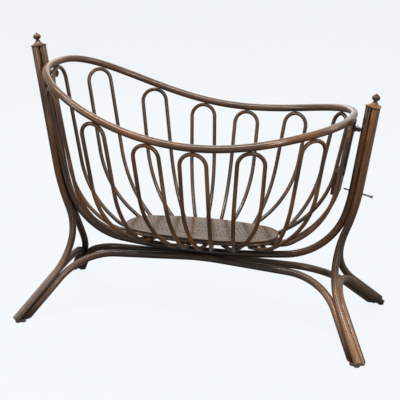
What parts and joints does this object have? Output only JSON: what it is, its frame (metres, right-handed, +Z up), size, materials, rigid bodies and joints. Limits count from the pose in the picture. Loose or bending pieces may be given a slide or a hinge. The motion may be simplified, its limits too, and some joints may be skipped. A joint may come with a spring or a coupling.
{
  "type": "bentwood cradle",
  "caption": "Cradle of steam-bent round rods: a hairpin-rod basket with an oval board floor swings on iron pivots between the two posts of a splayed stand, with a sliding lock pin.",
  "frame": {"origin": "on the floor, in the middle of the four feet", "axes": "+X along the cradle towards its foot end, -Y towards the viewer of the picture, +Z up"},
  "size_m": [1.1916, 0.6414, 0.9377],
  "materials": {
    "stand_rods": "aged satin varnish, worn",
    "rim_rod": "aged satin varnish, dusty",
    "thin_rods": "aged satin varnish",
    "turned_wood": "aged satin varnish",
    "plywood": "bare, stained",
    "block_wood": "bare, worn",
    "black_iron": "black, dull",
    "steel_wire": "tarnished",
    "lock_steel": "tarnished",
    "glide_rubber": "matt"
  },
  "bodies": {
    "stand": {"bow": "stand_rods", "leg_head_front": "stand_rods", "leg_head_back": "stand_rods", "leg_foot_front": "stand_rods", "leg_foot_back": "stand_rods", "rail_front": "stand_rods", "rail_back": "stand_rods", "end_arch_head": "stand_rods", "end_arch_foot": "stand_rods", "post_cap_head": "turned_wood", "post_cap_foot": "turned_wood", "finial_head": "turned_wood", "finial_foot": "turned_wood", "glides": "glide_rubber", "pivot_pin_head": "black_iron", "pivot_pin_foot": "black_iron", "pivot_spacer_head": "black_iron", "pivot_spacer_foot": "black_iron", "split_pins": "steel_wire"},
    "basket": {"rim": "rim_rod", "hairpin_front_1": "thin_rods", "hairpin_front_2": "thin_rods", "hairpin_front_3": "thin_rods", "hairpin_front_4": "thin_rods", "hairpin_front_5": "thin_rods", "hairpin_front_6": "thin_rods", "hairpin_back_1": "thin_rods", "hairpin_back_2": "thin_rods", "hairpin_back_3": "thin_rods", "hairpin_back_4": "thin_rods", "hairpin_back_5": "thin_rods", "hairpin_back_6": "thin_rods", "hairpin_head": "thin_rods", "hairpin_foot": "thin_rods", "floor_hoop": "thin_rods", "floor_board": "plywood", "strap_head": "black_iron", "strap_foot": "black_iron", "catch_block": "block_wood"},
    "lock": {"lock_pin": "lock_steel"}
  },
  "joints": [
    {"name": "basket_swing", "type": "hinge", "parent": "stand", "child": "basket", "pos_m": [0, 0, 0.74282], "axis": [0.9925, 0, -0.1222], "range_deg": [-20, 20]},
    {"name": "lock_slide", "type": "slide", "parent": "stand", "child": "lock", "axis": [-0.9744, 0, 0.225], "range_m": [0, 0.02]}
  ]
}
